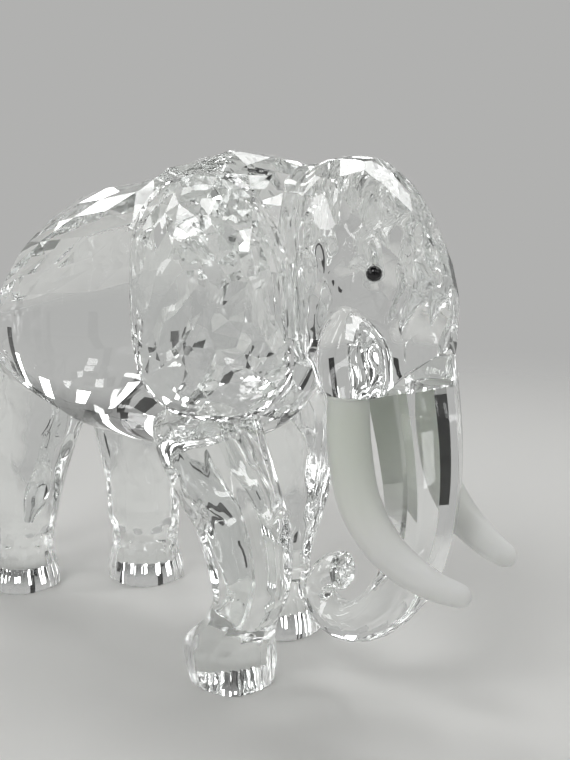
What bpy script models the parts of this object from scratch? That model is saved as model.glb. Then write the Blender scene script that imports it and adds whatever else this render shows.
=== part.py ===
"""A walking elephant in cut crystal, built from its fourteen bonded pieces.

The elephant faces -Y and stands on Z = 0, with its right side on -X.
Dimensions are in millimetres and become metres when a mesh is made.
Every piece is ground flat where it meets its neighbour, with a bond gap between the two flats.
"""

import math

import bmesh
import bpy
from mathutils import Matrix, Vector

MM = 0.001

# Overall layout
ORIGIN_SHIFT_Y = -16.053
BOND_GAP = 0.3

# Body: (y, half width, underside height, top height), from the neck seat to the rump
BODY_STATIONS = [
    (-14.0, 6.0, 57.0, 94.4),
    (-7.0, 10.6, 48.5, 96.2),
    (4.0, 16.0, 42.0, 97.6),
    (15.0, 18.8, 39.5, 96.4),
    (27.0, 20.0, 38.5, 92.6),
    (40.0, 20.4, 38.5, 90.6),
    (51.0, 20.0, 39.5, 87.4),
    (61.0, 18.2, 42.5, 80.6),
    (69.0, 14.2, 47.5, 73.0),
    (74.2, 8.4, 53.5, 66.5),
    (76.0, 3.0, 58.0, 62.0),
]
BODY_SIDES = 32
BODY_RINGS = 23
NECK_SEAT_Y = -12.0
BODY_FACET_ROWS = [
    (90.0, 0.0, 0.4),
    (66.0, 0.5, 0.5),
    (114.0, 0.5, 0.5),
    (42.0, 0.0, 0.6),
    (138.0, 0.0, 0.6),
    (20.0, 0.5, 0.7),
    (160.0, 0.5, 0.7),
]
BODY_FACET_COLUMNS = 9
BODY_FACET_REACH = 7.0
BODY_SADDLE = (14.0, 32.0)

# Head: (height, centre y, half width, half length)
HEAD_STATIONS = [
    (55.0, -28.6, 8.6, 10.5),
    (59.0, -28.6, 9.8, 12.4),
    (65.0, -28.4, 10.4, 14.4),
    (72.0, -28.0, 10.6, 15.0),
    (79.0, -27.0, 10.6, 14.4),
    (86.0, -24.8, 10.0, 12.8),
    (91.5, -23.2, 8.4, 10.4),
    (95.0, -22.4, 5.4, 6.4),
    (96.2, -22.4, 1.8, 2.0),
]
HEAD_AXIS_Y = -25.0
HEAD_SIDES = 36
HEAD_RINGS = 19
NECK_HALF_WIDTH = 8.0
NECK_BACK_Y = -9.0
NECK_LOW = 59.0
NECK_HIGH = 95.0
TRUNK_SEAT_POINT = (0.0, -38.6, 60.8)
TRUNK_SEAT_TILT = 45.0
TUSK_SEAT_Z = 57.6
CHEEK_CENTRE = (8.8, -30.0, 63.0)
CHEEK_RADII = (5.4, 6.2, 9.0)
BLEND_POWER = 14.0

# Eyes
EYE_POINT = (8.4, -34.1, 77.6)
EYE_RADIUS = 1.3

# Ears: root line beside the neck, swept back from it
EAR_ROOT = (8.3, -15.0)
EAR_SWEEP = 40.0
EAR_OUTLINE = [
    (-1.2, 60.0),
    (-0.6, 76.0),
    (4.4, 88.6),
    (11.6, 93.8),
    (20.0, 92.6),
    (26.4, 85.4),
    (27.8, 72.0),
    (26.8, 59.6),
    (22.6, 53.0),
    (14.4, 50.4),
    (4.6, 52.2),
]
EAR_POINTS = 40
EAR_CORE = 2.6
EAR_DOME = 2.0

# Trunk centre line (y, z, radius) from the head seat to the curled tip
TRUNK_PATH = [
    (-34.6, 67.0, 8.0),
    (-36.0, 58.0, 7.8),
    (-37.8, 48.0, 7.2),
    (-38.4, 39.0, 6.5),
    (-37.4, 30.5, 5.8),
    (-34.2, 23.0, 5.1),
    (-29.2, 16.8, 4.4),
    (-22.6, 13.2, 3.8),
    (-17.0, 13.8, 3.4),
    (-14.8, 17.2, 3.0),
    (-16.2, 20.4, 2.7),
    (-18.8, 22.0, 2.9),
    (-20.6, 22.4, 3.0),
]
TRUNK_SIDES = 14
TRUNK_RINGS = 34

# Tusk centre line (x, y, z, radius) from the flat top to the tip
RIGHT_TUSK_PATH = [
    (9.9, -30.2, 58.5, 3.4),
    (10.2, -30.8, 49.0, 3.7),
    (10.3, -33.3, 39.8, 3.6),
    (9.7, -38.7, 32.9, 3.2),
    (8.4, -45.4, 29.1, 2.6),
    (7.0, -50.8, 27.8, 2.0),
]
LEFT_TUSK_PATH = [
    (9.9, -30.2, 58.5, 3.4),
    (10.2, -30.8, 50.0, 3.7),
    (10.3, -33.2, 41.6, 3.6),
    (9.6, -38.6, 35.6, 3.2),
    (8.2, -45.2, 32.2, 2.6),
    (6.6, -50.4, 31.0, 2.0),
]
TUSK_TIP_LENGTH = 2.4
TUSK_SIDES = 16
TUSK_RINGS = 16

# Legs: (height, centre y, half width, half length) and the distance of each leg from the middle
FRONT_RIGHT_STATIONS = [
    (0.0, -3.8, 7.2, 7.6),
    (3.5, -3.4, 7.8, 8.2),
    (7.5, -3.2, 7.8, 8.2),
    (12.5, -6.2, 6.2, 6.4),
    (18.5, -8.6, 6.6, 6.8),
    (28.0, -6.8, 7.8, 8.4),
    (34.0, -2.8, 8.4, 10.2),
    (43.0, 2.8, 8.2, 12.0),
    (50.0, 4.6, 7.4, 11.0),
    (60.0, 7.0, 5.6, 8.6),
]
FRONT_LEFT_STATIONS = [
    (0.0, 6.8, 7.4, 7.8),
    (3.0, 6.8, 7.4, 7.8),
    (7.0, 7.0, 6.8, 7.2),
    (12.5, 7.6, 6.1, 6.4),
    (18.0, 7.8, 6.4, 6.8),
    (25.0, 7.0, 7.6, 8.4),
    (34.0, 6.2, 8.4, 10.2),
    (43.0, 6.0, 8.2, 11.0),
    (50.0, 6.6, 7.4, 10.2),
    (60.0, 7.6, 5.6, 8.2),
]
REAR_RIGHT_STATIONS = [
    (0.0, 67.6, 7.6, 8.0),
    (3.0, 67.6, 7.6, 8.0),
    (8.0, 67.8, 6.6, 7.0),
    (15.0, 67.0, 6.7, 7.3),
    (25.0, 65.2, 7.4, 8.6),
    (35.0, 62.6, 8.2, 10.4),
    (45.0, 59.4, 8.6, 12.0),
    (60.0, 57.4, 8.4, 12.6),
]
REAR_LEFT_STATIONS = [
    (0.0, 51.3, 8.0, 8.4),
    (3.0, 51.3, 8.0, 8.4),
    (8.0, 51.3, 7.0, 7.6),
    (15.0, 51.0, 7.4, 8.2),
    (25.0, 50.8, 8.0, 9.0),
    (35.0, 52.2, 8.4, 10.4),
    (45.0, 54.2, 8.6, 12.0),
    (60.0, 55.4, 8.4, 12.6),
]
FRONT_LEG_X = 12.0
REAR_LEG_X = 11.6
LEG_LEAN = 0.03
LEG_SIDES = 26
LEG_RINGS = 15
FOOT_HEIGHT = 8.0
FOOT_FLUTE = 0.965
FRONT_SEAT_POINT = (12.0, 2.0, 50.0)
FRONT_SEAT_FACING = (0.45, -0.35, -0.82)
REAR_SEAT_POINT = (11.6, 58.0, 47.6)
REAR_SEAT_FACING = (0.45, 0.35, -0.82)
SEAT_REACH = 26.0

# Tail centre line (x, y, z, radius)
TAIL_PATH = [
    (0.0, 69.0, 67.0, 2.8),
    (0.0, 77.4, 65.6, 2.6),
    (-0.8, 81.6, 57.0, 2.2),
    (-1.8, 83.0, 45.0, 1.9),
    (-2.6, 83.0, 33.0, 2.2),
    (-3.0, 82.2, 23.0, 3.0),
    (-3.0, 81.4, 14.0, 1.0),
]
TAIL_SEAT_Y = 74.2
TAIL_SIDES = 10
TAIL_RINGS = 18


# ---------------------------------------------------------------- materials

def glass_material(name, colour, roughness):
    """A Principled material with one colour, for a clear, frosted or dark piece."""
    material = bpy.data.materials.new(name)
    material.use_nodes = True
    shader = material.node_tree.nodes["Principled BSDF"]
    shader.inputs["Base Color"].default_value = colour
    shader.inputs["Roughness"].default_value = roughness
    shader.inputs["Metallic"].default_value = 0.0
    return material


def clear_crystal():
    return glass_material("clear_crystal", (0.93, 0.95, 0.95, 1.0), 0.02)


def frosted_crystal():
    return glass_material("frosted_crystal", (0.86, 0.9, 0.86, 1.0), 0.55)


def black_bead():
    return glass_material("black_bead", (0.004, 0.004, 0.005, 1.0), 0.12)


# ---------------------------------------------------------------- curves and rings

def spline_point(rows, position):
    """Catmull-Rom point at position 0..1 along rows of equal length."""
    last = len(rows) - 1
    along = min(max(position, 0.0), 1.0) * last
    index = min(int(along), last - 1)
    part = along - index
    before = rows[max(index - 1, 0)]
    start = rows[index]
    end = rows[index + 1]
    after = rows[min(index + 2, last)]
    point = []
    for p0, p1, p2, p3 in zip(before, start, end, after):
        linear = (p2 - p0) * part
        square = (2.0 * p0 - 5.0 * p1 + 4.0 * p2 - p3) * part ** 2
        cube = (3.0 * p1 - p0 - 3.0 * p2 + p3) * part ** 3
        point.append(0.5 * (2.0 * p1 + linear + square + cube))
    return point


def spline_rows(rows, count):
    return [spline_point(rows, step / (count - 1)) for step in range(count)]


def rounded_section(angle, half_a, half_b, exponent):
    """Point on a superellipse: exponent 2 is an ellipse, higher is squarer."""
    c = math.cos(angle)
    s = math.sin(angle)
    a = math.copysign(abs(c) ** (2.0 / exponent), c) * half_a
    b = math.copysign(abs(s) ** (2.0 / exponent), s) * half_b
    return a, b


# ---------------------------------------------------------------- mesh building

def loft(rings):
    """Closed solid through rings of the same number of points, with flat end caps."""
    bm = bmesh.new()
    loops = [[bm.verts.new(point) for point in ring] for ring in rings]
    sides = len(rings[0])
    for lower, upper in zip(loops, loops[1:]):
        for i in range(sides):
            j = (i + 1) % sides
            bm.faces.new((lower[i], lower[j], upper[j], upper[i]))
    bm.faces.new(list(reversed(loops[0])))
    bm.faces.new(loops[-1])
    bmesh.ops.recalc_face_normals(bm, faces=bm.faces)
    return bm


def cut_away(bm, point, normal):
    """Grind the piece flat: everything on the side that normal points to is removed."""
    geometry = bm.verts[:] + bm.edges[:] + bm.faces[:]
    cut = bmesh.ops.bisect_plane(bm, geom=geometry, plane_co=point, plane_no=normal,
                                 clear_outer=True, dist=1e-4)
    rim = [item for item in cut["geom_cut"] if isinstance(item, bmesh.types.BMEdge)]
    bmesh.ops.holes_fill(bm, edges=rim, sides=0)
    bmesh.ops.recalc_face_normals(bm, faces=bm.faces)


def grind_facet(bm, centre, normal, reach, depth):
    """Flatten the skin near centre onto one plane, depth below the surface."""
    centre = Vector(centre)
    normal = Vector(normal).normalized()
    plane_point = centre - normal * depth
    near = [face for face in bm.faces
            if (face.calc_center_median() - centre).length < reach and face.normal.dot(normal) > 0.15]
    edges = {edge for face in near for edge in face.edges}
    verts = {vert for face in near for vert in face.verts}
    cut = bmesh.ops.bisect_plane(bm, geom=list(verts) + list(edges) + near, dist=1e-4,
                                 plane_co=plane_point, plane_no=normal)
    verts.update(item for item in cut["geom"] if isinstance(item, bmesh.types.BMVert))
    for vert in verts:
        if vert.is_valid:
            above = (vert.co - plane_point).dot(normal)
            if above > 0.0:
                vert.co -= normal * above


def merge_flats(bm):
    """Join faces that lie in one plane, and drop slivers."""
    bmesh.ops.dissolve_limit(bm, angle_limit=math.radians(0.4), verts=bm.verts, edges=bm.edges)
    bmesh.ops.dissolve_degenerate(bm, dist=0.02, edges=bm.edges)
    bmesh.ops.triangulate(bm, faces=bm.faces)
    bmesh.ops.dissolve_degenerate(bm, dist=0.02, edges=bm.edges)
    bmesh.ops.recalc_face_normals(bm, faces=bm.faces)


def add_piece(name, bm, material, parent, smooth_angle=25.0):
    """Turn a millimetre mesh into a named object in metres."""
    bmesh.ops.transform(bm, matrix=Matrix.Scale(MM, 4), verts=bm.verts)
    mesh = bpy.data.meshes.new(name)
    bm.to_mesh(mesh)
    bm.free()
    mesh.materials.append(material)
    mesh.shade_smooth()
    mesh.set_sharp_from_angle(angle=math.radians(smooth_angle))
    piece = bpy.data.objects.new(name, mesh)
    bpy.context.collection.objects.link(piece)
    piece.parent = parent
    return piece


# ---------------------------------------------------------------- the pieces

def on_side(triple, side):
    """A point or direction given for the left side, mirrored for the right side."""
    return Vector((side * triple[0], triple[1], triple[2]))


def body_section(row, angle):
    y, half_width, low, high = row
    x, z = rounded_section(angle, half_width, (high - low) / 2.0, 2.2)
    return Vector((x, y, z + (high + low) / 2.0))


def body_normal(row_before, row_after, angle):
    """Outward direction of the body's skin between two stations."""
    step = 0.05
    across = body_section(row_before, angle + step) - body_section(row_before, angle - step)
    along = body_section(row_after, angle) - body_section(row_before, angle)
    return along.cross(across).normalized()


def grind_body_facets(bm):
    """Staggered rows of facets over the back, the shoulders and the upper flanks."""
    for degrees, offset, depth in BODY_FACET_ROWS:
        for column in range(BODY_FACET_COLUMNS):
            place = (column + offset + 0.5) / (BODY_FACET_COLUMNS + 0.5)
            before = spline_point(BODY_STATIONS, place - 0.02)
            middle = spline_point(BODY_STATIONS, place)
            if degrees == 90.0 and BODY_SADDLE[0] < middle[0] < BODY_SADDLE[1]:
                continue
            after = spline_point(BODY_STATIONS, place + 0.02)
            angle = math.radians(degrees)
            normal = body_normal(before, after, angle)
            grind_facet(bm, body_section(middle, angle), normal, BODY_FACET_REACH, depth)


def build_body(parent, material):
    rings = []
    for row in spline_rows(BODY_STATIONS, BODY_RINGS):
        rings.append([body_section(row, 2.0 * math.pi * i / BODY_SIDES) for i in range(BODY_SIDES)])
    bm = loft(rings)
    grind_body_facets(bm)
    for side in (-1.0, 1.0):
        for point, facing in ((FRONT_SEAT_POINT, FRONT_SEAT_FACING), (REAR_SEAT_POINT, REAR_SEAT_FACING)):
            grind_facet(bm, on_side(point, side), on_side(facing, side), SEAT_REACH, 0.0)
    cut_away(bm, (0.0, TAIL_SEAT_Y, 0.0), (0.0, 1.0, 0.0))
    cut_away(bm, (0.0, NECK_SEAT_Y + BOND_GAP / 2.0, 0.0), (0.0, -1.0, 0.0))
    merge_flats(bm)
    return add_piece("body", bm, material, parent)


def leg_ring(side, distance, row):
    """One level of a leg, with toe flutes round the front of the foot."""
    height, centre_y, half_width, half_length = row
    centre_x = side * (distance - LEG_LEAN * height)
    ring = []
    for i in range(LEG_SIDES):
        angle = 2.0 * math.pi * i / LEG_SIDES
        x, y = rounded_section(angle, half_width, half_length, 2.5)
        if height < FOOT_HEIGHT and y < 0.0 and i % 2:
            x *= FOOT_FLUTE
            y *= FOOT_FLUTE
        ring.append(Vector((centre_x + x, centre_y + y, max(height, 0.0))))
    return ring


def build_leg(name, side, distance, stations, seat_point, seat_facing, parent, material):
    """A leg column standing flat on its foot, with a ground seat on top."""
    bm = loft([leg_ring(side, distance, row) for row in spline_rows(stations, LEG_RINGS)])
    facing = on_side(seat_facing, side).normalized()
    cut_away(bm, on_side(seat_point, side) + facing * BOND_GAP, -facing)
    merge_flats(bm)
    return add_piece(name, bm, material, parent)


def build_legs(parent, material):
    front = (FRONT_SEAT_POINT, FRONT_SEAT_FACING)
    rear = (REAR_SEAT_POINT, REAR_SEAT_FACING)
    build_leg("leg_front_right", -1.0, FRONT_LEG_X, FRONT_RIGHT_STATIONS, *front, parent, material)
    build_leg("leg_front_left", 1.0, FRONT_LEG_X, FRONT_LEFT_STATIONS, *front, parent, material)
    build_leg("leg_rear_right", -1.0, REAR_LEG_X, REAR_RIGHT_STATIONS, *rear, parent, material)
    build_leg("leg_rear_left", 1.0, REAR_LEG_X, REAR_LEFT_STATIONS, *rear, parent, material)


def sweep_rings(path, sides, count, twist=0.0):
    """Round sections along a path of (x, y, z, radius) rows, square to the path."""
    rows = spline_rows(path, count)
    rings = []
    for index, row in enumerate(rows):
        ahead = Vector(rows[min(index + 1, count - 1)][:3])
        behind = Vector(rows[max(index - 1, 0)][:3])
        direction = (ahead - behind).normalized()
        across = Vector((1.0, 0.0, 0.0))
        across = (across - direction * across.dot(direction)).normalized()
        outward = direction.cross(across)
        centre = Vector(row[:3])
        ring = []
        for i in range(sides):
            angle = 2.0 * math.pi * (i + twist) / sides
            offset = across * math.cos(angle) + outward * math.sin(angle)
            ring.append(centre + offset * row[3])
        rings.append(ring)
    return rings


def rounded_end(rings, length):
    """Add a domed tip after the last ring."""
    last = rings[-1]
    centre = sum(last, Vector()) / len(last)
    before = sum(rings[-2], Vector()) / len(last)
    direction = (centre - before).normalized()
    for degrees in (25.0, 50.0, 75.0):
        angle = math.radians(degrees)
        middle = centre + direction * length * math.sin(angle)
        rings.append([middle + (point - centre) * math.cos(angle) for point in last])
    return rings


def trunk_seat_normal():
    """Direction from the head into the trunk, at the slanted bond."""
    angle = math.radians(TRUNK_SEAT_TILT)
    return Vector((0.0, -math.sin(angle), -math.cos(angle)))


def reach_to_ellipse(origin, direction, centre, half_a, half_b):
    """Distance from origin to the far side of an ellipse, along a direction, or 0 if it is missed."""
    ox = (origin[0] - centre[0]) / half_a
    oy = (origin[1] - centre[1]) / half_b
    dx = direction[0] / half_a
    dy = direction[1] / half_b
    square = dx * dx + dy * dy
    half_linear = ox * dx + oy * dy
    root = half_linear ** 2 - square * (ox * ox + oy * oy - 1.0)
    if root <= 0.0:
        return 0.0
    return max((math.sqrt(root) - half_linear) / square, 0.0)


def neck_reach(direction, height):
    """Distance from the head's axis to the side or back of the neck."""
    if direction[1] <= 0.05:
        return 0.0
    low_fade = min(max((height - NECK_LOW) / 6.0, 0.0), 1.0)
    high_fade = min(max((NECK_HIGH - height) / 5.0, 0.0), 1.0)
    half_width = NECK_HALF_WIDTH * math.sqrt(low_fade * high_fade)
    back = NECK_BACK_Y - HEAD_AXIS_Y
    return min(half_width / max(abs(direction[0]), 1e-3), back / direction[1])


def head_ring(row):
    """One level of the head: skull, cheeks over the tusks, and neck, blended softly."""
    height, centre_y, half_width, half_length = row
    origin = (0.0, HEAD_AXIS_Y)
    ring = []
    for i in range(HEAD_SIDES):
        angle = 2.0 * math.pi * (i + 0.5) / HEAD_SIDES
        direction = (math.cos(angle), math.sin(angle))
        reaches = [reach_to_ellipse(origin, direction, (0.0, centre_y), half_width, half_length),
                   neck_reach(direction, height)]
        level = (height - CHEEK_CENTRE[2]) / CHEEK_RADII[2]
        if abs(level) < 1.0:
            share = math.sqrt(1.0 - level * level)
            centre = (math.copysign(CHEEK_CENTRE[0], direction[0]), CHEEK_CENTRE[1])
            reaches.append(reach_to_ellipse(origin, direction, centre, CHEEK_RADII[0] * share,
                                            CHEEK_RADII[1] * share))
        distance = sum(reach ** BLEND_POWER for reach in reaches) ** (1.0 / BLEND_POWER)
        ring.append(Vector((direction[0] * distance, HEAD_AXIS_Y + direction[1] * distance, height)))
    return ring


def cut_with(piece, cutter):
    """Subtract a hidden cutter from a piece."""
    cutter.hide_render = True
    cutter.display_type = "WIRE"
    modifier = piece.modifiers.new("cut_" + cutter.name, "BOOLEAN")
    modifier.operation = "DIFFERENCE"
    modifier.solver = "EXACT"
    modifier.object = cutter


def build_eye_socket(side, parent, material):
    bm = bmesh.new()
    bmesh.ops.create_uvsphere(bm, u_segments=14, v_segments=8, radius=EYE_RADIUS + BOND_GAP)
    bmesh.ops.translate(bm, vec=on_side(EYE_POINT, side), verts=bm.verts)
    name = "socket_right" if side < 0 else "socket_left"
    return add_piece(name, bm, material, parent)


def build_head(parent, material):
    bm = loft([head_ring(row) for row in spline_rows(HEAD_STATIONS, HEAD_RINGS)])
    cut_away(bm, (0.0, NECK_SEAT_Y - BOND_GAP / 2.0, 0.0), (0.0, 1.0, 0.0))
    cut_away(bm, (0.0, 0.0, TUSK_SEAT_Z), (0.0, 0.0, -1.0))
    cut_away(bm, TRUNK_SEAT_POINT, trunk_seat_normal())
    merge_flats(bm)
    head = add_piece("head", bm, material, parent)
    for side in (-1.0, 1.0):
        cut_with(head, build_eye_socket(side, parent, material))
    return head


def ear_point(side, across, height, thickness):
    """Point of the ear from its distance from the root, height and distance off its middle plane."""
    sweep = math.radians(EAR_SWEEP)
    root_x, root_y = EAR_ROOT
    x = root_x + across * math.sin(sweep) + thickness * math.cos(sweep)
    y = root_y + across * math.cos(sweep) - thickness * math.sin(sweep)
    return Vector((side * x, y, height))


def build_ear(name, side, parent, material):
    outline = spline_rows(EAR_OUTLINE + EAR_OUTLINE[:1], EAR_POINTS + 1)[:-1]
    middle_a = sum(point[0] for point in outline) / len(outline)
    middle_h = sum(point[1] for point in outline) / len(outline)
    levels = [(0.0, -EAR_CORE), (0.55, -EAR_CORE), (0.9, -EAR_CORE * 0.62), (1.0, 0.0),
              (0.9, EAR_CORE * 0.62 + 0.2), (0.55, EAR_CORE + EAR_DOME * 0.6), (0.0, EAR_CORE + EAR_DOME)]
    rings = []
    for spread, thickness in levels:
        share = max(spread, 0.12)
        ring = []
        for across, height in outline:
            a = middle_a + (across - middle_a) * share
            h = middle_h + (height - middle_h) * share
            ring.append(ear_point(side, a, h, thickness))
        rings.append(ring)
    bm = loft(rings)
    root = side * (NECK_HALF_WIDTH + BOND_GAP)
    cut_away(bm, (root, 0.0, 0.0), (-side, 0.0, 0.0))
    merge_flats(bm)
    return add_piece(name, bm, material, parent)


def build_trunk_seat_cutter(parent, material):
    """Wedge with the head's slanted face in front and its flat underside below, one bond gap lower."""
    normal = trunk_seat_normal()
    point = Vector(TRUNK_SEAT_POINT) + normal * BOND_GAP
    low = TUSK_SEAT_Z - BOND_GAP
    high = 90.0
    front_low = point.y + (point.z - low) * normal.z / normal.y
    front_high = point.y + (point.z - high) * normal.z / normal.y
    profile = [(front_low, low), (40.0, low), (40.0, high), (front_high, high)]
    rings = [[Vector((x, y, z)) for y, z in profile] for x in (-30.0, 30.0)]
    return add_piece("trunk_seat", loft(rings), material, parent)


def build_trunk(parent, material):
    path = [(0.0, y, z, radius) for y, z, radius in TRUNK_PATH]
    bm = loft(sweep_rings(path, TRUNK_SIDES, TRUNK_RINGS, 0.5))
    merge_flats(bm)
    trunk = add_piece("trunk", bm, material, parent)
    cut_with(trunk, build_trunk_seat_cutter(parent, material))
    return trunk


def build_tusk(name, side, parent, material):
    rows = LEFT_TUSK_PATH if side > 0 else RIGHT_TUSK_PATH
    path = [(side * x, y, z, radius) for x, y, z, radius in rows]
    bm = loft(rounded_end(sweep_rings(path, TUSK_SIDES, TUSK_RINGS), TUSK_TIP_LENGTH))
    cut_away(bm, (0.0, 0.0, TUSK_SEAT_Z - BOND_GAP), (0.0, 0.0, 1.0))
    merge_flats(bm)
    return add_piece(name, bm, material, parent)


def build_eye(name, side, parent, material):
    bm = bmesh.new()
    bmesh.ops.create_uvsphere(bm, u_segments=16, v_segments=10, radius=EYE_RADIUS)
    bmesh.ops.translate(bm, vec=on_side(EYE_POINT, side), verts=bm.verts)
    return add_piece(name, bm, material, parent)


def build_tail(parent, material):
    bm = loft(sweep_rings(TAIL_PATH, TAIL_SIDES, TAIL_RINGS))
    cut_away(bm, (0.0, TAIL_SEAT_Y + BOND_GAP, 0.0), (0.0, -1.0, 0.0))
    merge_flats(bm)
    return add_piece("tail", bm, material, parent)


def build_elephant():
    for item in list(bpy.data.objects):
        bpy.data.objects.remove(item, do_unlink=True)
    elephant = bpy.data.objects.new("elephant", None)
    bpy.context.collection.objects.link(elephant)
    elephant.location = (0.0, ORIGIN_SHIFT_Y * MM, 0.0)
    clear = clear_crystal()
    frosted = frosted_crystal()
    black = black_bead()
    build_body(elephant, clear)
    build_head(elephant, clear)
    build_trunk(elephant, clear)
    build_legs(elephant, clear)
    build_tail(elephant, clear)
    for side, label in ((-1.0, "right"), (1.0, "left")):
        build_ear("ear_" + label, side, elephant, clear)
        build_tusk("tusk_" + label, side, elephant, frosted)
        build_eye("eye_" + label, side, elephant, black)


build_elephant()
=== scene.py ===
"""The looks of a walking crystal elephant: clear cut crystals, frosted tusks and black bead eyes."""

from functools import partial
import math

import bmesh
import bpy
from mathutils import Matrix, Vector, noise


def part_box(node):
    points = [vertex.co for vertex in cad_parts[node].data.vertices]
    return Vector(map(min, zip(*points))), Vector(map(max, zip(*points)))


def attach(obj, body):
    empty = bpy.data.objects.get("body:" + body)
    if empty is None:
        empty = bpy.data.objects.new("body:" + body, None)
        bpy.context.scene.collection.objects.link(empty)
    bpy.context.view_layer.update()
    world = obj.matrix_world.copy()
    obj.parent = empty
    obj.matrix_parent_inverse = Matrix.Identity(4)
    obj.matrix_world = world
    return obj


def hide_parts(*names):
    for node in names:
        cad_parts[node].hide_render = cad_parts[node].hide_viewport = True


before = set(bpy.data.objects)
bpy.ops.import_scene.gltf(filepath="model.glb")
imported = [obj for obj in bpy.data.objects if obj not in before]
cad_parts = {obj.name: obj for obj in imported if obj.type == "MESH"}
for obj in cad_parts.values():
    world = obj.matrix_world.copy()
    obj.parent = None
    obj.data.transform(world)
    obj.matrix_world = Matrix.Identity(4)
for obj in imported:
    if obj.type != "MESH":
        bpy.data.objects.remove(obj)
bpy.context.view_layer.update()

MM = 0.001

# ---- where the pieces meet
# The shapes are described in millimetres from a point under the front feet, and the frame gives that point's place.
NECK_SEAT_Y = -12.0
HALF_GAP = 0.15
SHIFT_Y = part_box("body")[0].y / MM - (NECK_SEAT_Y + HALF_GAP)
BOND_OVERLAP = 0.04


def node_box_mm(node):
    low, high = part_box(node)
    return (low / MM - Vector((0.0, SHIFT_Y, 0.0))), (high / MM - Vector((0.0, SHIFT_Y, 0.0)))


TUSK_SEAT_Z = node_box_mm("head")[0].z
TAIL_SEAT_Y = node_box_mm("body")[1].y
NECK_HALF_WIDTH = node_box_mm("ear_left")[0].x - 2.0 * HALF_GAP
EYE_POINT = tuple((node_box_mm("eye_left")[0] + node_box_mm("eye_left")[1]) / 2.0)
EYE_RADIUS = (node_box_mm("eye_left")[1].x - node_box_mm("eye_left")[0].x) / 2.0

TRUNK_SEAT_POINT = Vector((0.0, -38.6, 60.8))
TRUNK_SEAT_TILT = math.radians(45.0)
TRUNK_SEAT_NORMAL = Vector((0.0, -math.sin(TRUNK_SEAT_TILT), -math.cos(TRUNK_SEAT_TILT)))
FRONT_SEAT_POINT = (12.0, 2.0, 50.0)
FRONT_SEAT_FACING = (0.45, -0.35, -0.82)
REAR_SEAT_POINT = (11.6, 58.0, 47.6)
REAR_SEAT_FACING = (0.45, 0.35, -0.82)
SEAT_REACH = 26.0

# ---- shapes
BODY_STATIONS = [
    (-14.0, 6.0, 57.0, 94.4), (-7.0, 10.6, 48.5, 96.2), (4.0, 16.0, 42.0, 97.6), (15.0, 18.8, 39.5, 96.4),
    (27.0, 20.0, 38.5, 92.6), (40.0, 20.4, 38.5, 90.6), (51.0, 20.0, 39.5, 87.4), (61.0, 18.2, 42.5, 80.6),
    (69.0, 14.2, 47.5, 73.0), (74.2, 8.4, 53.5, 66.5), (76.0, 3.0, 58.0, 62.0),
]
HEAD_STATIONS = [
    (55.0, -28.6, 8.6, 10.5), (59.0, -28.6, 9.8, 12.4), (65.0, -28.4, 10.4, 14.4), (72.0, -28.0, 10.6, 15.0),
    (79.0, -27.0, 10.6, 14.4), (86.0, -24.8, 10.0, 12.8), (91.5, -23.2, 8.4, 10.4), (95.0, -22.4, 5.4, 6.4),
    (96.2, -22.4, 1.8, 2.0),
]
HEAD_AXIS_Y = -25.0
NECK_BACK_Y = -9.0
NECK_LOW = 59.0
NECK_HIGH = 95.0
CHEEK_CENTRE = (8.8, -30.0, 63.0)
CHEEK_RADII = (5.4, 6.2, 9.0)
BLEND_POWER = 14.0
EAR_ROOT = (8.3, -15.0)
EAR_SWEEP = math.radians(40.0)
EAR_OUTLINE = [
    (-1.2, 60.0), (-0.6, 76.0), (4.4, 88.6), (11.6, 93.8), (20.0, 92.6), (26.4, 85.4), (27.8, 72.0),
    (26.8, 59.6), (22.6, 53.0), (14.4, 50.4), (4.6, 52.2),
]
TRUNK_PATH = [
    (-34.6, 67.0, 8.0), (-36.0, 58.0, 7.8), (-37.8, 48.0, 7.2), (-38.4, 39.0, 6.5), (-37.4, 30.5, 5.8),
    (-34.2, 23.0, 5.1), (-29.2, 16.8, 4.4), (-22.6, 13.2, 3.8), (-17.0, 13.8, 3.4), (-14.8, 17.2, 3.0),
    (-16.2, 20.4, 2.7), (-18.8, 22.0, 3.2), (-20.6, 22.4, 3.5),
]
RIGHT_TUSK_PATH = [
    (9.9, -30.2, 58.5, 3.4), (10.2, -30.8, 49.0, 3.7), (10.3, -33.3, 39.8, 3.6), (9.7, -38.7, 32.9, 3.2),
    (8.4, -45.4, 29.1, 2.6), (7.0, -50.8, 27.8, 2.0),
]
LEFT_TUSK_PATH = [
    (9.9, -30.2, 58.5, 3.4), (10.2, -30.8, 50.0, 3.7), (10.3, -33.2, 41.6, 3.6), (9.6, -38.6, 35.6, 3.2),
    (8.2, -45.2, 32.2, 2.6), (6.6, -50.4, 31.0, 2.0),
]
TUSK_TIP_LENGTH = 2.4
FRONT_RIGHT_STATIONS = [
    (0.0, -3.8, 7.2, 7.6), (3.5, -3.4, 7.8, 8.2), (7.5, -3.2, 7.8, 8.2), (12.5, -6.2, 6.2, 6.4),
    (18.5, -8.6, 6.6, 6.8), (28.0, -6.8, 7.8, 8.4), (34.0, -2.8, 8.4, 10.2), (43.0, 2.8, 8.2, 12.0),
    (50.0, 4.6, 7.4, 11.0), (60.0, 7.0, 5.6, 8.6),
]
FRONT_LEFT_STATIONS = [
    (0.0, 6.8, 7.4, 7.8), (3.0, 6.8, 7.4, 7.8), (7.0, 7.0, 6.8, 7.2), (12.5, 7.6, 6.1, 6.4),
    (18.0, 7.8, 6.4, 6.8), (25.0, 7.0, 7.6, 8.4), (34.0, 6.2, 8.4, 10.2), (43.0, 6.0, 8.2, 11.0),
    (50.0, 6.6, 7.4, 10.2), (60.0, 7.6, 5.6, 8.2),
]
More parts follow.
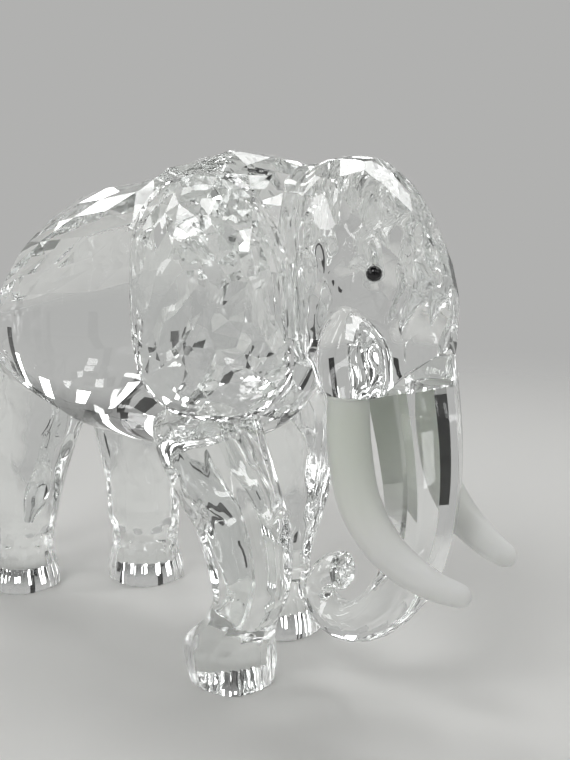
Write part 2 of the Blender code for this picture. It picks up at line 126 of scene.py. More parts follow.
REAR_RIGHT_STATIONS = [
    (0.0, 67.6, 7.6, 8.0), (3.0, 67.6, 7.6, 8.0), (8.0, 67.8, 6.6, 7.0), (15.0, 67.0, 6.7, 7.3),
    (25.0, 65.2, 7.4, 8.6), (35.0, 62.6, 8.2, 10.4), (45.0, 59.4, 8.6, 12.0), (60.0, 57.4, 8.4, 12.6),
]
REAR_LEFT_STATIONS = [
    (0.0, 51.3, 8.0, 8.4), (3.0, 51.3, 8.0, 8.4), (8.0, 51.3, 7.0, 7.6), (15.0, 51.0, 7.4, 8.2),
    (25.0, 50.8, 8.0, 9.0), (35.0, 52.2, 8.4, 10.4), (45.0, 54.2, 8.6, 12.0), (60.0, 55.4, 8.4, 12.6),
]
FRONT_LEG_X = 12.0
REAR_LEG_X = 11.6
LEG_LEAN = 0.03
FOOT_HEIGHT = 7.6
INSTEP_TOP = 14.0
TAIL_PATH = [
    (0.0, 69.0, 67.0, 2.8), (0.0, 77.4, 65.6, 2.6), (-0.8, 81.6, 57.0, 2.2), (-1.8, 83.0, 45.0, 1.9),
    (-2.6, 83.0, 33.0, 2.2), (-3.0, 82.2, 23.0, 3.0), (-3.0, 81.4, 14.0, 1.0),
]


# ---- curves and sections

def spline_point(rows, position):
    """Catmull-Rom point at position 0..1 along rows of equal length."""
    last = len(rows) - 1
    along = min(max(position, 0.0), 1.0) * last
    index = min(int(along), last - 1)
    part = along - index
    before = rows[max(index - 1, 0)]
    start = rows[index]
    end = rows[index + 1]
    after = rows[min(index + 2, last)]
    point = []
    for p0, p1, p2, p3 in zip(before, start, end, after):
        linear = (p2 - p0) * part
        square = (2.0 * p0 - 5.0 * p1 + 4.0 * p2 - p3) * part ** 2
        cube = (3.0 * p1 - p0 - 3.0 * p2 + p3) * part ** 3
        point.append(0.5 * (2.0 * p1 + linear + square + cube))
    return point


def rounded_section(angle, half_a, half_b, exponent):
    """Point on a superellipse: exponent 2 is an ellipse, higher is squarer."""
    c = math.cos(angle)
    s = math.sin(angle)
    a = math.copysign(abs(c) ** (2.0 / exponent), c) * half_a
    b = math.copysign(abs(s) ** (2.0 / exponent), s) * half_b
    return a, b


def flat_sides(angle, sides):
    """How far in a flat-sided polygon lies from its circle, at an angle."""
    step = 2.0 * math.pi / sides
    off = (angle % step) - step / 2.0
    return math.cos(step / 2.0) / math.cos(off)


def ease(low, high, value):
    share = min(max((value - low) / (high - low), 0.0), 1.0)
    return share * share * (3.0 - 2.0 * share)


def on_side(triple, side):
    """A point or direction given for the left side, mirrored for the right side."""
    return Vector((side * triple[0], triple[1], triple[2]))


# ---- cutting

# Facet numbers: 0 is skin that isn't cut, and faces with the same number are one flat. The faces of a flat with this
# number or a higher one are merged.
FIRST_CUT_FACET = 1000
# Edges sharper than this stay sharp.
CREASE = math.radians(32.0)
HEAD_CREASE = math.radians(40.0)
TUSK_CREASE = math.radians(50.0)
LEG_CREASE = math.radians(24.0)
EYE_CREASE = math.radians(60.0)


def free_number(bm):
    """A facet number that no face has yet."""
    facet = bm.faces.layers.int["facet"]
    return max([FIRST_CUT_FACET] + [face[facet] + 1 for face in bm.faces])


def skin_rings(surface, count, sides, turn=0.0):
    """Rings of points of a surface that is a function of place and angle."""
    return [[surface(k / (count - 1), 2.0 * math.pi * (i + turn) / sides) for i in range(sides)] for k in range(count)]


def loft(rings, numbers=None):
    """Closed solid through rings of points. numbers(ring, side) gives the facets that are cut already."""
    bm = bmesh.new()
    facet = bm.faces.layers.int.new("facet")
    loops = [[bm.verts.new(point) for point in ring] for ring in rings]
    sides = len(rings[0])
    for k in range(len(loops) - 1):
        for i in range(sides):
            j = (i + 1) % sides
            face = bm.faces.new((loops[k][i], loops[k][j], loops[k + 1][j], loops[k + 1][i]))
            if numbers:
                face[facet] = numbers(k, i)
    bm.faces.new(list(reversed(loops[0])))[facet] = free_number(bm)
    bm.faces.new(loops[-1])[facet] = free_number(bm)
    bmesh.ops.recalc_face_normals(bm, faces=bm.faces)
    return bm


def cut_away(bm, point, normal):
    """Grind the piece flat: everything on the side that normal points to is removed. Gives the flat's number."""
    facet = bm.faces.layers.int["facet"]
    number = free_number(bm)
    geometry = bm.verts[:] + bm.edges[:] + bm.faces[:]
    cut = bmesh.ops.bisect_plane(bm, geom=geometry, plane_co=point, plane_no=normal, clear_outer=True, dist=1e-4)
    rim = [item for item in cut["geom_cut"] if isinstance(item, bmesh.types.BMEdge)]
    filled = bmesh.ops.holes_fill(bm, edges=rim, sides=0)
    for face in filled["faces"]:
        face[facet] = number
    bmesh.ops.recalc_face_normals(bm, faces=bm.faces)
    return number


def grind_facet(bm, number, plane_point, normal, centre, reach):
    """Grind the cap round centre down to one flat facet. Nothing is cut if the cap runs further than reach."""
    facet = bm.faces.layers.int["facet"]

    def above(vert):
        return (vert.co - plane_point).dot(normal)

    near = [vert for vert in bm.verts if (vert.co - centre).length < reach * 0.7]
    if not near:
        return False
    start = max(near, key=above)
    if above(start) < 0.01:
        return False
    # Ordered like lists, so that every run cuts alike.
    cap = {start: True}
    todo = [start]
    while todo:
        for face in todo.pop().link_faces:
            for other in face.verts:
                if other not in cap and above(other) > 1e-4:
                    if (other.co - centre).length > reach:
                        return False
                    cap[other] = True
                    todo.append(other)
    faces = dict.fromkeys(face for vert in cap for face in vert.link_faces)
    edges = dict.fromkeys(edge for face in faces for edge in face.edges)
    verts = dict.fromkeys(vert for face in faces for vert in face.verts)
    cut = bmesh.ops.bisect_plane(bm, geom=list(verts) + list(edges) + list(faces), dist=1e-4,
                                 plane_co=plane_point, plane_no=normal, clear_outer=True)
    rim = [item for item in cut["geom_cut"] if isinstance(item, bmesh.types.BMEdge) and item.is_valid]
    rim = [edge for edge in rim if edge.is_boundary]
    for face in bmesh.ops.holes_fill(bm, edges=rim, sides=0)["faces"]:
        face[facet] = number
        if face.normal.dot(normal) < 0.0:
            face.normal_flip()
    return True


class FacetCutter:
    """Cuts rows of facets into a surface given as a function of two numbers."""

    def __init__(self, bm, surface, inside):
        self.bm = bm
        self.surface = surface
        self.inside = inside
        self.first = free_number(bm)
        self.count = 0

    def cut(self, u, v, du, dv, deeper=1.0, wobble=0.02, spread=2.0):
        surface = self.surface
        corners = [surface(u - du, v), surface(u, v - dv), surface(u + du, v), surface(u, v + dv)]
        corners += [surface(u - du * 0.7, v - dv * 0.7), surface(u + du * 0.7, v - dv * 0.7)]
        corners += [surface(u + du * 0.7, v + dv * 0.7), surface(u - du * 0.7, v + dv * 0.7)]
        normal = (corners[2] - corners[0]).cross(corners[3] - corners[1])
        if normal.length < 1e-6:
            return
        normal.normalize()
        centre = surface(u, v)
        if normal.dot(centre - self.inside(centre)) < 0.0:
            normal = -normal
        depths = [(centre - corner).dot(normal) for corner in corners]
        depth = sum(depths) / len(corners) * deeper
        if depth < 0.02 or min(depths) < -0.1:
            return
        self.count += 1
        tilt = Vector((math.sin(self.count * 12.9), math.sin(self.count * 78.2), math.sin(self.count * 37.7)))
        normal = (normal + tilt * wobble).normalized()
        reach = spread * max((centre - corner).length for corner in corners)
        for share in (1.0, 0.7, 0.45):
            plane_point = centre - normal * depth * share
            if grind_facet(self.bm, self.first + self.count, plane_point, normal, centre, reach):
                return


def finish_piece(bm, node, kind, material, crease=CREASE):
    """Clean the cut mesh, sharpen the facet borders and make it the object that replaces a node, in metres."""
    facet = bm.faces.layers.int["facet"]
    inner = [edge for edge in bm.edges if len(edge.link_faces) == 2
             and edge.link_faces[0][facet] == edge.link_faces[1][facet] >= FIRST_CUT_FACET]
    bmesh.ops.dissolve_limit(bm, angle_limit=math.radians(0.3), edges=inner, verts=[])
    bmesh.ops.remove_doubles(bm, verts=bm.verts, dist=0.012)
    bmesh.ops.dissolve_degenerate(bm, dist=0.004, edges=bm.edges)
    bmesh.ops.recalc_face_normals(bm, faces=bm.faces)
    for face in bm.faces:
        face.smooth = True
    for edge in bm.edges:
        if len(edge.link_faces) == 2:
            one, two = edge.link_faces
            if one[facet] != two[facet] or edge.calc_face_angle(0.0) > crease:
                edge.smooth = False
    place = Matrix.Translation((0.0, SHIFT_Y * MM, 0.0)) @ Matrix.Scale(MM, 4)
    bmesh.ops.transform(bm, matrix=place, verts=bm.verts)
    name = node + "_" + kind
    mesh = bpy.data.meshes.new(name)
    bm.to_mesh(mesh)
    bm.free()
    mesh.materials.append(material)
    piece = bpy.data.objects.new(name, mesh)
    bpy.context.scene.collection.objects.link(piece)
    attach(piece, "root")
    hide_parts(node)
    return piece


# ---- body

BODY_SIDES = 84
BODY_RINGS = 84
# Lines of facet corners down each flank: (degrees from the ridge, facets along the body)
BODY_FACET_LINES = [
    (0.0, 13), (13.0, 13), (26.0, 13), (39.0, 13), (53.0, 9), (68.0, 9),
]
BODY_SMOOTH_BELOW = 80.0
# How far the facet corners stand out of the skin, by turns. The ears use the same turns.
CORNER_LIFTS = (0.66, -0.07, -0.66, 0.33, -0.4)
BODY_EXPONENT = 2.2


def body_point(place, angle):
    """Point of the body's skin at a place from neck to rump, and an angle round it."""
    y, half_width, low, high = spline_point(BODY_STATIONS, place)
    x, z = rounded_section(angle, max(half_width, 0.5), max(high - low, 1.0) / 2.0, BODY_EXPONENT)
    return Vector((x, y, z + (high + low) / 2.0))


def lifted_body_point(place, angle, lift):
    """Point of the body moved out of the skin by lift, or into it."""
    point = body_point(place, angle)
    inside = Vector((0.0, min(max(point.y, 0.0), 55.0), 65.0))
    return point + (point - inside).normalized() * lift


def corner_line(bm, degrees, columns, line):
    """The corners of the facets at one height of a flank, as (place, vertex), from the neck to the rump."""
    corners = []
    side = -1.0 if degrees < 0.0 else 1.0
    if line % 2:
        inner_places = [(i + 0.5) / columns for i in range(columns)]
    else:
        inner_places = [i / columns for i in range(1, columns)]
    places = [0.0] + inner_places + [1.0]
    for i, place in enumerate(places):
        inner = 0.0 < place < 1.0
        lift = CORNER_LIFTS[(i * 2 + line * 3 + (1 if side < 0.0 else 0)) % len(CORNER_LIFTS)] if inner else 0.0
        lift *= 0.35 + 0.65 * ease(0.04, 0.16, place) * (1.0 - ease(0.72, 0.92, place))
        turn = degrees + (1.6 * math.sin(i * 5.3 + line * 2.1) if inner and line else 0.0)
        shift = 0.12 / columns * math.sin(i * 3.7 + line * 1.9) if inner else 0.0
        point = lifted_body_point(place + shift, math.radians(90.0 - turn), lift)
        corners.append((place, bm.verts.new(point)))
    return corners


def triangle_band(bm, one, other):
    """Triangles between two lines of corners. Where one line is fine, the triangles from a corner share a facet."""
    facet = bm.faces.layers.int["facet"]
    number = free_number(bm)
    i = 0
    j = 0
    while i < len(one) - 1 or j < len(other) - 1:
        step_one = j == len(other) - 1 or (i < len(one) - 1 and one[i + 1][0] <= other[j + 1][0])
        if step_one:
            face = bm.faces.new((one[i][1], one[i + 1][1], other[j][1]))
            face[facet] = number + 2 * i
            i += 1
        else:
            face = bm.faces.new((one[i][1], other[j + 1][1], other[j][1]))
            face[facet] = number + 2 * i + 1
            j += 1


def build_body(material):
    bm = bmesh.new()
    facet = bm.faces.layers.int.new("facet")
    edge = BODY_SMOOTH_BELOW
    grid = []
    for k in range(BODY_RINGS):
        place = k / (BODY_RINGS - 1)
        turns = [edge + (360.0 - 2.0 * edge) * i / BODY_SIDES for i in range(BODY_SIDES + 1)]
        grid.append([bm.verts.new(body_point(place, math.radians(90.0 - turn))) for turn in turns])
    for k in range(BODY_RINGS - 1):
        for i in range(BODY_SIDES):
            bm.faces.new((grid[k][i], grid[k][i + 1], grid[k + 1][i + 1], grid[k + 1][i]))
    places = [k / (BODY_RINGS - 1) for k in range(BODY_RINGS)]
    lines = [[(place, ring[-1]) for place, ring in zip(places, grid)]]
    for line, (degrees, columns) in reversed(list(enumerate(BODY_FACET_LINES))):
        if line:
            lines.append(corner_line(bm, -degrees, columns, line))
    for line, (degrees, columns) in enumerate(BODY_FACET_LINES):
        lines.append(corner_line(bm, degrees, columns, line))
    lines.append([(place, ring[0]) for place, ring in zip(places, grid)])
    for one, other in zip(lines, lines[1:]):
        if len(one) > BODY_RINGS - 1:
            one, other = other, one
        triangle_band(bm, one, other)
    for end, ring in ((0, grid[0]), (-1, grid[-1])):
        rim = ring + [line[end][1] for line in lines[1:-1]]
        bm.faces.new(rim)[facet] = free_number(bm)
    bmesh.ops.recalc_face_normals(bm, faces=bm.faces)
    for side in (-1.0, 1.0):
        for point, facing in ((FRONT_SEAT_POINT, FRONT_SEAT_FACING), (REAR_SEAT_POINT, REAR_SEAT_FACING)):
            seat = on_side(point, side)
            grind_facet(bm, 900 + int(side) + int(point[1]), seat, on_side(facing, side).normalized(), seat,
                        2.0 * SEAT_REACH)
    cut_away(bm, (0.0, TAIL_SEAT_Y, 0.0), (0.0, 1.0, 0.0))
    cut_away(bm, (0.0, NECK_SEAT_Y - BOND_OVERLAP, 0.0), (0.0, -1.0, 0.0))
    return finish_piece(bm, "body", "crystal", material)


# ---- head

HEAD_SIDES = 144
HEAD_RINGS = 84
HEAD_FACET_DEPTH = 1.15
HEAD_FACET_TILT = 0.09
HEAD_FACET_SPREAD = 2.6
NECK_LOW_FADE = 6.0
NECK_HIGH_FADE = 5.0
SOCKET_DEPTH = 0.3
SOCKET_INNER = 0.9
SOCKET_OUTER = 2.1
# Rows up the forehead and over the crown: (height, half height, first and last angle from straight ahead, count)
HEAD_FACET_ROWS = [
    (66.5, 3.6, -34.0, 34.0, 5), (72.0, 3.8, -42.0, 42.0, 6), (78.0, 3.8, -36.0, 36.0, 5),
    (83.5, 3.4, -46.0, 46.0, 6), (88.0, 2.9, -150.0, 150.0, 13), (91.6, 2.2, -165.0, 165.0, 12),
    (94.2, 1.5, -150.0, 150.0, 9),
]


def reach_to_ellipse(origin, direction, centre, half_a, half_b):
    """Distance from origin to the far side of an ellipse, along a direction, or 0 if it is missed."""
    ox = (origin[0] - centre[0]) / half_a
    oy = (origin[1] - centre[1]) / half_b
    dx = direction[0] / half_a
    dy = direction[1] / half_b
    square = dx * dx + dy * dy
    half_linear = ox * dx + oy * dy
    root = half_linear ** 2 - square * (ox * ox + oy * oy - 1.0)
    if root <= 0.0:
        return 0.0
    return max((math.sqrt(root) - half_linear) / square, 0.0)


def neck_reach(direction, height):
    """Distance from the head's axis to the side or back of the neck."""
    if direction[1] <= 0.05:
        return 0.0
    low_fade = min(max((height - NECK_LOW) / NECK_LOW_FADE, 0.0), 1.0)
    high_fade = min(max((NECK_HIGH - height) / NECK_HIGH_FADE, 0.0), 1.0)
    half_width = NECK_HALF_WIDTH * math.sqrt(low_fade * high_fade)
    back = NECK_BACK_Y - HEAD_AXIS_Y
    return min(half_width / max(abs(direction[0]), 1e-3), back / direction[1])


def head_point(place, angle):
    """Point of the head's skin: the skull, the neck and the two cheeks blended into one."""
    height, centre_y, half_width, half_length = spline_point(HEAD_STATIONS, place)
    origin = (0.0, HEAD_AXIS_Y)
    direction = (math.cos(angle), math.sin(angle))
    reaches = [reach_to_ellipse(origin, direction, (0.0, centre_y), half_width, half_length),
               neck_reach(direction, height)]
    level = (height - CHEEK_CENTRE[2]) / CHEEK_RADII[2]
    if abs(level) < 1.0:
        share = (1.0 - abs(level) ** 2.4) ** 0.7
        centre = (math.copysign(CHEEK_CENTRE[0], direction[0]), CHEEK_CENTRE[1])
        reaches.append(reach_to_ellipse(origin, direction, centre, CHEEK_RADII[0] * share, CHEEK_RADII[1] * share))
    distance = sum(reach ** BLEND_POWER for reach in reaches) ** (1.0 / BLEND_POWER)
    distance += head_relief(direction, height)
    return Vector((direction[0] * distance, HEAD_AXIS_Y + direction[1] * distance, height))


def head_relief(direction, height):
    """Soft moulded folds over the temple, round the eye."""
    from_front = math.degrees(math.acos(max(min(-direction[1], 1.0), -1.0)))
    window = ease(36.0, 50.0, from_front) * (1.0 - ease(112.0, 135.0, from_front))
    window *= ease(66.0, 71.0, height) * (1.0 - ease(81.0, 87.0, height))
    if window <= 0.0:
        return 0.0
    spot = Vector((abs(direction[0]) * 2.0, direction[1] * 2.0, height * 0.16))
    return window * (1.25 * noise.noise(spot) + 0.22 * noise.noise(spot * 2.3))


def head_inside(point):
    """A point within the head, level with a point of its skin."""
    return Vector((0.0, HEAD_AXIS_Y, min(point.z, 84.0)))


def head_place(height):
    """Where along the stations a height is."""
    low, high = 0.0, 1.0
    for _ in range(30):
        middle = (low + high) / 2.0
        if spline_point(HEAD_STATIONS, middle)[0] < height:
            low = middle
        else:
            high = middle
    return low


def build_head(material):
    bm = loft(skin_rings(head_point, HEAD_RINGS, HEAD_SIDES, 0.5))
    cutter = FacetCutter(bm, head_point, head_inside)
    for height, half_height, first, last, count in HEAD_FACET_ROWS:
        place = head_place(height)
        half_place = (head_place(height + half_height) - head_place(height - half_height)) / 2.0
        step = (last - first) / max(count - 1, 1)
        for i in range(count):
            angle = math.radians(-90.0 + first + step * i)
            cutter.cut(place, angle, half_place, math.radians(step * 0.62), HEAD_FACET_DEPTH, HEAD_FACET_TILT,
                       HEAD_FACET_SPREAD)
    cut_away(bm, (0.0, NECK_SEAT_Y, 0.0), (0.0, 1.0, 0.0))
    cut_away(bm, (0.0, 0.0, TUSK_SEAT_Z), (0.0, 0.0, -1.0))
    cut_away(bm, TRUNK_SEAT_POINT, TRUNK_SEAT_NORMAL)
    for side in (-1.0, 1.0):
        sink_eye(bm, side)
    return finish_piece(bm, "head", "crystal", material, HEAD_CREASE)


def sink_eye(bm, side):
    """Press a shallow round socket for the eye bead into the skin."""
    eye = on_side(EYE_POINT, side)
    outward = Vector((side * 0.86, -0.5, 0.05)).normalized()
    for vert in bm.verts:
        offset = vert.co - eye
        along = offset.dot(outward)
        across = (offset - outward * along).length
        if across < EYE_RADIUS * SOCKET_OUTER and along > -1.5:
            sink = 1.0 - ease(EYE_RADIUS * SOCKET_INNER, EYE_RADIUS * SOCKET_OUTER, across)
            vert.co -= outward * (SOCKET_DEPTH * sink)


# ---- ears

# How thick the ear is at its middle, outside and inside its outline's plane
EAR_OUTER = 4.6
EAR_INNER = 2.6
EAR_MIDDLE = (sum(point[0] for point in EAR_OUTLINE) / len(EAR_OUTLINE),
              sum(point[1] for point in EAR_OUTLINE) / len(EAR_OUTLINE))
EAR_TABLE_REACH = 26.0
# The long flats of the outer face: (number, shift along the ear, tilt, depth)
EAR_TABLES = ((801, -4.0, -0.13, 0.2), (802, 4.0, 0.13, 0.2), (803, 0.0, 0.0, 0.1))
EAR_BACK_TABLE = 804
EAR_BACK_TABLE_DEPTH = 0.25
# Rings of facet corners from the rim inwards: (spread, corners, lift); positive is the outer face
EAR_OUTER_RINGS = [
    (0.05, 40, 0.0), (0.11, 34, 0.45), (0.21, 28, 0.8), (0.33, 23, 1.05), (0.47, 17, 1.1), (0.64, 11, 0.8),
    (0.83, 6, 0.4),
]
EAR_INNER_RINGS = [
    (-0.05, 34, 0.0), (-0.15, 26, 0.55), (-0.3, 19, 0.95), (-0.5, 13, 1.0), (-0.76, 7, 0.6),
]
EAR_RIM_CORNERS = 80


def ear_outline_point(turn):
    """Point of the ear's outline, as (along the ear, height)."""
    closed = EAR_OUTLINE + EAR_OUTLINE[:1]
    return spline_point(closed, turn % 1.0)


def ear_place(side, across, height, thickness):
    """A point of the swept-back ear, given along it, up it and out of it."""
    root_x, root_y = EAR_ROOT
    x = root_x + across * math.sin(EAR_SWEEP) + thickness * math.cos(EAR_SWEEP)
    y = root_y + across * math.cos(EAR_SWEEP) - thickness * math.sin(EAR_SWEEP)
    return Vector((side * x, y, height))


def ear_skin(side, spread, turn):
    """Point of the ear's skin: spread runs from -1 at the middle of the inner face, over the rim at 0, to 1 outside."""
    across, height = ear_outline_point(turn)
    radial = 1.0 - abs(spread)
    a = EAR_MIDDLE[0] + (across - EAR_MIDDLE[0]) * radial
    h = EAR_MIDDLE[1] + (height - EAR_MIDDLE[1]) * radial
    dome = (1.0 - radial ** 2.3) ** 0.62 if radial < 1.0 else 0.0
    thickness = EAR_OUTER * dome if spread > 0.0 else -EAR_INNER * dome
    return ear_place(side, a, h, thickness)


def ear_ring(bm, side, spread, count, lift, number):
    """One closed ring of facet corners, as (turn, vertex), lifted in and out of the skin by turns."""
    outward = ear_place(side, 0.0, 0.0, 1.0) - ear_place(side, 0.0, 0.0, 0.0)
    outward *= math.copysign(1.0, spread)
    ring = []
    for i in range(count):
        turn = (i + (0.5 if number % 2 else 0.0)) / count
        rise = lift * CORNER_LIFTS[(i * 2 + number * 3) % len(CORNER_LIFTS)] / CORNER_LIFTS[0]
        sway = 0.14 / count * math.sin(i * 2.9 + number * 1.3) if lift else 0.0
        point = ear_skin(side, spread, turn + sway) + outward * rise
        ring.append((turn, bm.verts.new(point)))
    return ring + [(ring[0][0] + 1.0, ring[0][1])]


def build_ear(name, side, material):
    bm = bmesh.new()
    facet = bm.faces.layers.int.new("facet")
    rim = ear_ring(bm, side, 1e-6, EAR_RIM_CORNERS, 0.0, 0)
    for innermost, rings in ((0.999, EAR_OUTER_RINGS), (-0.999, EAR_INNER_RINGS)):
        lines = [rim]
        for number, (spread, count, lift) in enumerate(rings):
            lines.append(ear_ring(bm, side, spread, count, lift, number))
        for one, other in zip(lines, lines[1:]):
            triangle_band(bm, other, one)
        middle = bm.verts.new(ear_skin(side, innermost, 0.0))
        last = lines[-1]
        first = free_number(bm)
        for i in range(len(last) - 1):
            bm.faces.new((last[i][1], last[i + 1][1], middle))[facet] = first + i
    bmesh.ops.recalc_face_normals(bm, faces=bm.faces)
    table_facets(bm, side)
    root = side * (NECK_HALF_WIDTH - BOND_OVERLAP)
    cut_away(bm, (root, 0.0, 0.0), (-side, 0.0, 0.0))
    return finish_piece(bm, name, "crystal", material)


def table_facets(bm, side):
    """Three long flats down the middle of the outer face, and one large flat behind."""
    outward = ear_place(side, 0.0, 0.0, 1.0) - ear_place(side, 0.0, 0.0, 0.0)
    along = ear_place(side, 1.0, 0.0, 0.0) - ear_place(side, 0.0, 0.0, 0.0)
    for number, shift, tilt, depth in EAR_TABLES:
        centre = ear_place(side, EAR_MIDDLE[0] + shift, EAR_MIDDLE[1], EAR_OUTER)
        normal = (outward + along * tilt).normalized()
        grind_facet(bm, number, centre - normal * depth, normal, centre, EAR_TABLE_REACH)
    centre = ear_place(side, EAR_MIDDLE[0], EAR_MIDDLE[1], -EAR_INNER)
    grind_facet(bm, EAR_BACK_TABLE, centre + outward * EAR_BACK_TABLE_DEPTH, -outward, centre, EAR_TABLE_REACH)


# ---- trunk, tusks and tail

TRUNK_ROWS = [(0.0, y, z, radius) for y, z, radius in TRUNK_PATH]
TRUNK_FLUTES = 6
TRUNK_SIDES = 120
TRUNK_RINGS = 150
# The flats run to this place along the trunk, and fade out round it.
FLUTE_END = 0.46
FLUTE_FADE_BEFORE = 0.14
FLUTE_FADE_AFTER = 0.06
FLUTE_GROWTH = 1.055
TRUNK_PATH_STEPS = 59
TRUNK_FACET_ROWS = 15
TRUNK_FACET_COLUMNS = 13
TRUNK_FIRST_COLUMN = -4
TRUNK_FACET_END = 0.97
TUSK_SIDES = 56
TUSK_RINGS = 72
TUSK_RIM_WIDTH = 0.45
TIP_DEGREES = (10.0, 20.0, 30.0, 40.0, 50.0, 60.0, 70.0, 79.0, 86.0)
TAIL_COLUMNS = 7
TAIL_SIDES = 8 * TAIL_COLUMNS
TAIL_RINGS = 60
TAIL_FACET_ROWS = 11
TAIL_PATH_STEPS = 40


def path_frame(path, place):
    """Centre, radius and the two directions across a path of (x, y, z, radius) rows."""
    row = spline_point(path, place)
    ahead = Vector(spline_point(path, place + 0.004)[:3])
    behind = Vector(spline_point(path, place - 0.004)[:3])
    direction = (ahead - behind).normalized()
    across = Vector((1.0, 0.0, 0.0))
    across = (across - direction * across.dot(direction)).normalized()
    return Vector(row[:3]), row[3], across, direction.cross(across)


def trunk_point(place, angle):
    """Point of the trunk: six long flats above, with a ridge down the front, and round below."""
    centre, radius, across, outward = path_frame(TRUNK_ROWS, place)
    flat = 1.0 - ease(FLUTE_END - FLUTE_FADE_BEFORE, FLUTE_END + FLUTE_FADE_AFTER, place)
    radius *= 1.0 + (FLUTE_GROWTH * flat_sides(angle + math.pi / TRUNK_FLUTES, TRUNK_FLUTES) - 1.0) * flat
    return centre + (across * math.cos(angle) + outward * math.sin(angle)) * radius


def nearest_on_path(path, steps, point):
    """The nearest point of a path's middle line."""
    return min((Vector(spline_point(path, k / steps)[:3]) for k in range(steps + 1)),
               key=lambda centre: (centre - point).length)


def tube_point(path, place, angle):
    """Point of the skin of a round tube along a path."""
    centre, radius, across, outward = path_frame(path, place)
    return centre + (across * math.cos(angle) + outward * math.sin(angle)) * radius


def build_trunk(material):
    per_flute = TRUNK_SIDES // TRUNK_FLUTES
    flute_rings = int((FLUTE_END + 0.01) * (TRUNK_RINGS - 1))

    def numbers(k, i):
        return 500 + (i + per_flute // 2) // per_flute % TRUNK_FLUTES if k < flute_rings else 0

    bm = loft(skin_rings(trunk_point, TRUNK_RINGS, TRUNK_SIDES), numbers)
    cutter = FacetCutter(bm, trunk_point, partial(nearest_on_path, TRUNK_ROWS, TRUNK_PATH_STEPS))
    for row in range(TRUNK_FACET_ROWS):
        place = FLUTE_END - 0.01 + (TRUNK_FACET_END - FLUTE_END) * row / (TRUNK_FACET_ROWS - 1)
        for i in range(TRUNK_FACET_COLUMNS):
            column = i + TRUNK_FIRST_COLUMN + (0.5 if row % 2 else 0.0)
            angle = math.radians(-90.0 + column * 360.0 / TRUNK_FACET_COLUMNS)
            cutter.cut(place, angle, 0.026, math.radians(17.0), 1.1, 0.04, 3.2)
    cut_trunk_top(bm)
    return finish_piece(bm, "trunk", "crystal", material)


def cut_trunk_top(bm):
    """Grind the trunk's top to the head's slanted face in front and its flat underside behind."""
    facet = bm.faces.layers.int["facet"]
    slanted = TRUNK_SEAT_POINT - TRUNK_SEAT_NORMAL * BOND_OVERLAP
    level = Vector((0.0, 0.0, TUSK_SEAT_Z + BOND_OVERLAP))
    up = Vector((0.0, 0.0, 1.0))
    for point, normal in ((slanted, -TRUNK_SEAT_NORMAL), (level, up)):
        geometry = bm.verts[:] + bm.edges[:] + bm.faces[:]
        bmesh.ops.bisect_plane(bm, geom=geometry, plane_co=point, plane_no=normal, dist=1e-3)
    doomed = []
    for face in bm.faces:
        middle = face.calc_center_median()
        if (middle - slanted).dot(-TRUNK_SEAT_NORMAL) > 0.0 and (middle - level).dot(up) > 0.0:
            doomed.append(face)
    bmesh.ops.delete(bm, geom=doomed, context="FACES")
    rim = [edge for edge in bm.edges if edge.is_boundary]
    ridge = [vert for vert in dict.fromkeys(v for e in rim for v in e.verts)
             if abs((vert.co - slanted).dot(TRUNK_SEAT_NORMAL)) < 0.01 and abs(vert.co.z - level.z) < 0.01]
    if len(ridge) == 2:
        ridge_edge = bm.edges.new(ridge)
        front = [edge for edge in rim if (edge.verts[0].co + edge.verts[1].co).z / 2.0 > level.z + 1e-3]
        back = [edge for edge in rim if edge not in front]
        for edges in (front, back):
            number = free_number(bm)
            filled = bmesh.ops.holes_fill(bm, edges=edges + [ridge_edge], sides=0)
            for face in filled["faces"]:
                face[facet] = number
    else:
        bmesh.ops.holes_fill(bm, edges=rim, sides=0)
    bmesh.ops.recalc_face_normals(bm, faces=bm.faces)


def domed_end(rings, length):
    """Add a rounded tip after the last ring."""
    last = rings[-1]
    centre = sum(last, Vector()) / len(last)
    before = sum(rings[-2], Vector()) / len(last)
    direction = (centre - before).normalized()
    for degrees in TIP_DEGREES:
        angle = math.radians(degrees)
        middle = centre + direction * length * math.sin(angle)
        rings.append([middle + (point - centre) * math.cos(angle) for point in last])
    return rings


def build_tusk(name, side, material):
    rows = LEFT_TUSK_PATH if side > 0 else RIGHT_TUSK_PATH
    path = [(side * x, y, z, radius) for x, y, z, radius in rows]
    bm = loft(domed_end(skin_rings(partial(tube_point, path), TUSK_RINGS, TUSK_SIDES), TUSK_TIP_LENGTH))
    top = cut_away(bm, (0.0, 0.0, TUSK_SEAT_Z + BOND_OVERLAP), (0.0, 0.0, 1.0))
    round_rim(bm, top, TUSK_RIM_WIDTH)
    return finish_piece(bm, name, "frosted", material, TUSK_CREASE)


def round_rim(bm, number, width):
    """Soften the edge round a ground flat."""
    facet = bm.faces.layers.int["facet"]
    rim = [edge for edge in bm.edges if len(edge.link_faces) == 2
           and (edge.link_faces[0][facet] == number) != (edge.link_faces[1][facet] == number)]
    result = bmesh.ops.bevel(bm, geom=rim, offset=width, segments=3, profile=0.5, affect="EDGES")
    for face in result["faces"]:
        face[facet] = 0


